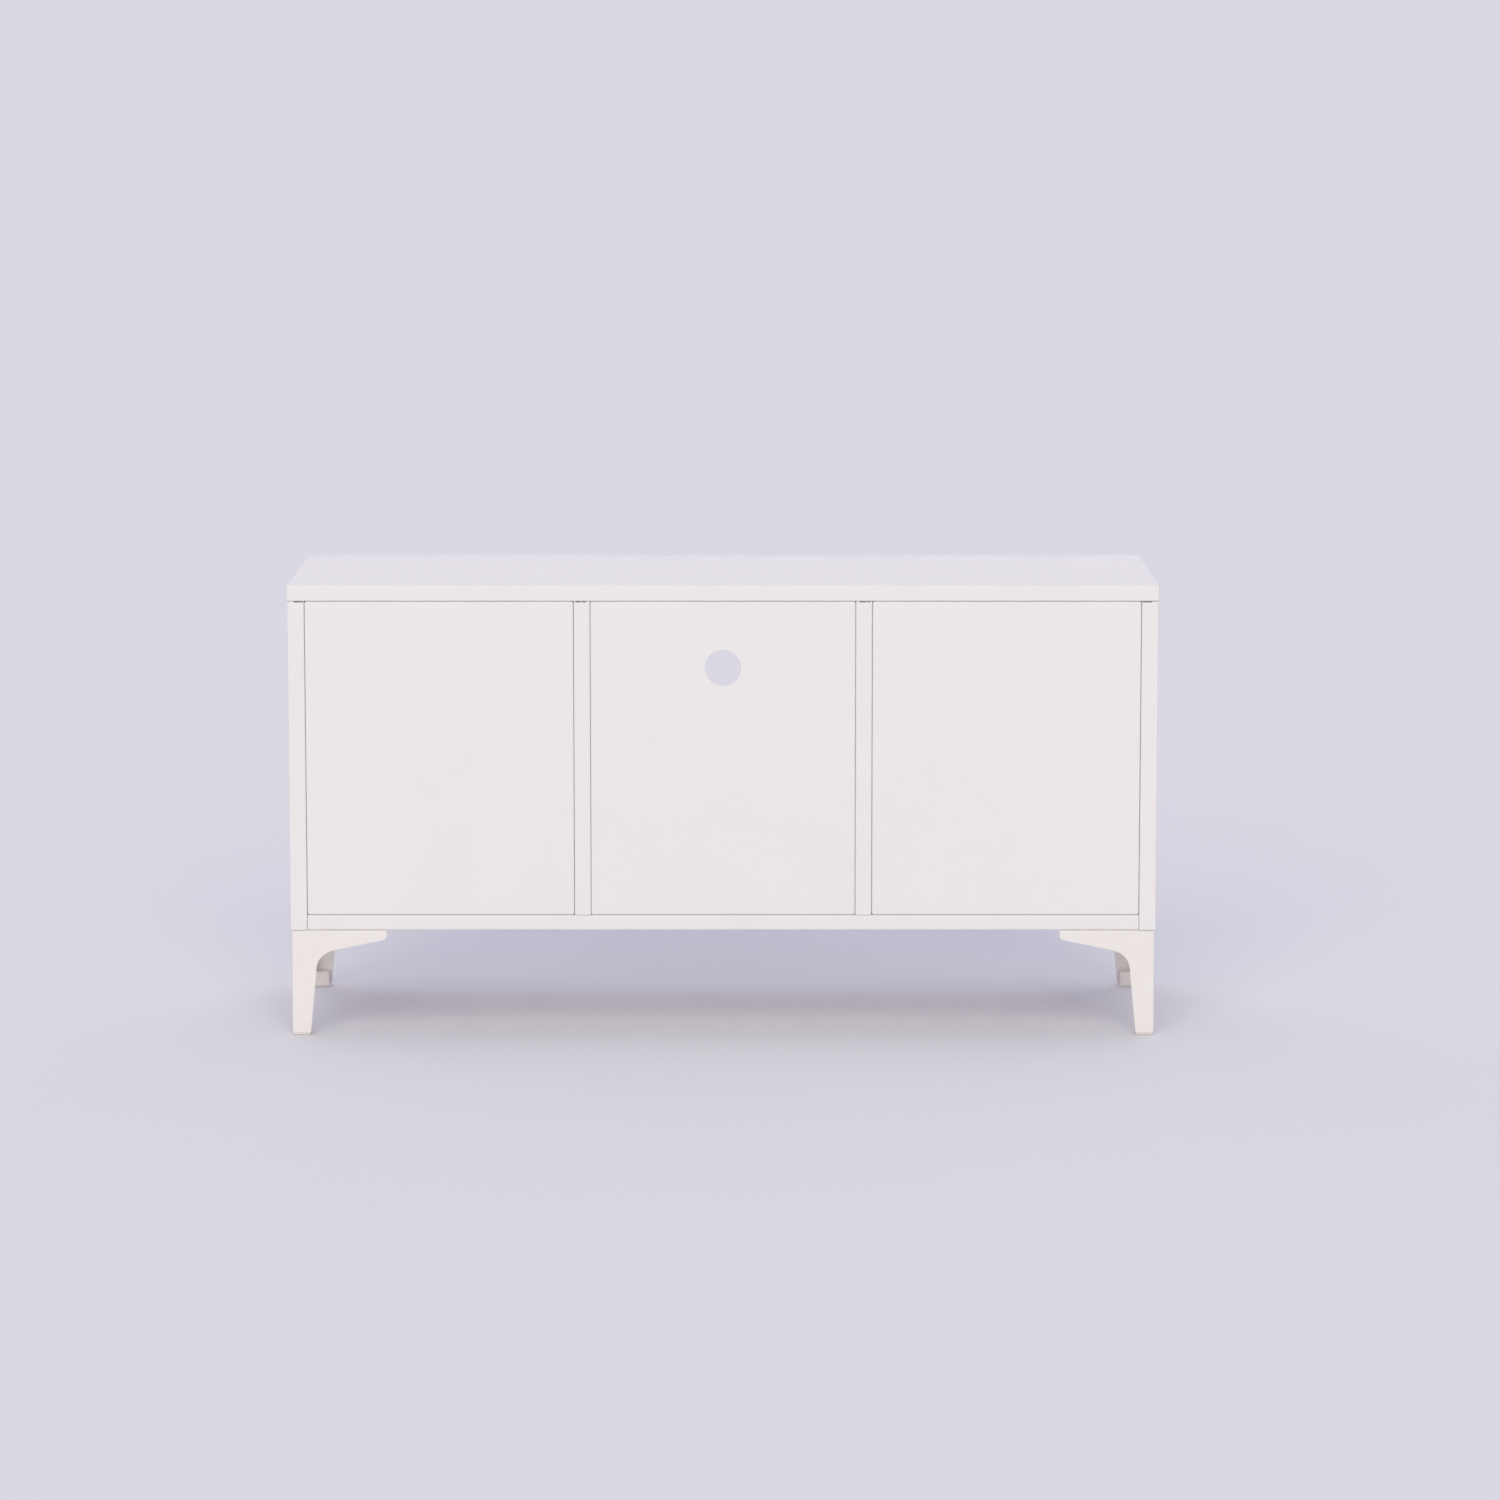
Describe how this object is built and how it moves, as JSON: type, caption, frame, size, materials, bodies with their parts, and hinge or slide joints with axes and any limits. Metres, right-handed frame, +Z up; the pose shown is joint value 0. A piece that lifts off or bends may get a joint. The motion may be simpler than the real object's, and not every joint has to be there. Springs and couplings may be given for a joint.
{
  "type": "television cabinet",
  "caption": "Low folded-steel television cabinet with hinged doors at both ends, an open middle bay with a cable hole in its back, and tapered bracket legs.",
  "frame": {"origin": "on the floor, under the middle of the whole object, door knobs included", "axes": "+X to the right when facing the doors, +Y from the doors towards the back panels, +Z up"},
  "size_m": [1.2, 0.422, 0.628],
  "materials": {
    "powder_coat": "fine-textured white powder coat, satin",
    "white_nylon": "moulded white nylon",
    "grey_plastic": "moulded grey plastic",
    "rubber": "matt grey rubber",
    "zinc_steel": "bright zinc plate"
  },
  "bodies": {
    "cabinet": {"top_panel": "powder_coat", "left_top_channel": "powder_coat", "right_top_channel": "powder_coat", "left_side_panel": "powder_coat", "right_side_panel": "powder_coat", "left_divider": "powder_coat", "right_divider": "powder_coat", "floor_panel": "powder_coat", "left_back_panel": "powder_coat", "right_back_panel": "powder_coat", "middle_back_panel": "powder_coat", "left_shelf": "powder_coat", "right_shelf": "powder_coat", "middle_shelf": "powder_coat", "left_outer_shelf_rail": "powder_coat", "right_outer_shelf_rail": "powder_coat", "left_inner_shelf_rail": "powder_coat", "right_inner_shelf_rail": "powder_coat", "left_top_hinge_bush": "white_nylon", "right_top_hinge_bush": "white_nylon", "left_bottom_hinge_bush": "white_nylon", "right_bottom_hinge_bush": "white_nylon", "left_magnet_catch": "grey_plastic", "right_magnet_catch": "grey_plastic", "left_door_stop": "rubber", "right_door_stop": "rubber", "front_left_leg": "powder_coat", "front_right_leg": "powder_coat", "back_right_leg": "powder_coat", "back_left_leg": "powder_coat", "front_left_foot_cap": "white_nylon", "front_right_foot_cap": "white_nylon", "back_right_foot_cap": "white_nylon", "back_left_foot_cap": "white_nylon", "front_left_leg_bolt_a": "zinc_steel", "front_left_leg_bolt_b": "zinc_steel", "front_right_leg_bolt_a": "zinc_steel", "front_right_leg_bolt_b": "zinc_steel", "back_right_leg_bolt_a": "zinc_steel", "back_right_leg_bolt_b": "zinc_steel", "back_left_leg_bolt_a": "zinc_steel", "back_left_leg_bolt_b": "zinc_steel"},
    "left_door": {"left_door_panel": "powder_coat", "left_door_liner": "powder_coat", "left_door_stiffener": "powder_coat", "left_door_knob": "powder_coat", "left_knob_screw": "zinc_steel", "left_top_hinge_pin": "zinc_steel", "left_bottom_hinge_pin": "zinc_steel", "left_strike_plate": "zinc_steel"},
    "right_door": {"right_door_panel": "powder_coat", "right_door_liner": "powder_coat", "right_door_stiffener": "powder_coat", "right_door_knob": "powder_coat", "right_knob_screw": "zinc_steel", "right_top_hinge_pin": "zinc_steel", "right_bottom_hinge_pin": "zinc_steel", "right_strike_plate": "zinc_steel"}
  },
  "joints": [
    {"name": "left_door_hinge", "type": "hinge", "parent": "cabinet", "child": "left_door", "pos_m": [-0.567, -0.182, 0.3875], "axis": [0, 0, -1], "range_deg": [0, 105]},
    {"name": "right_door_hinge", "type": "hinge", "parent": "cabinet", "child": "right_door", "pos_m": [0.567, -0.182, 0.3875], "axis": [0, 0, 1], "range_deg": [0, 105]}
  ]
}
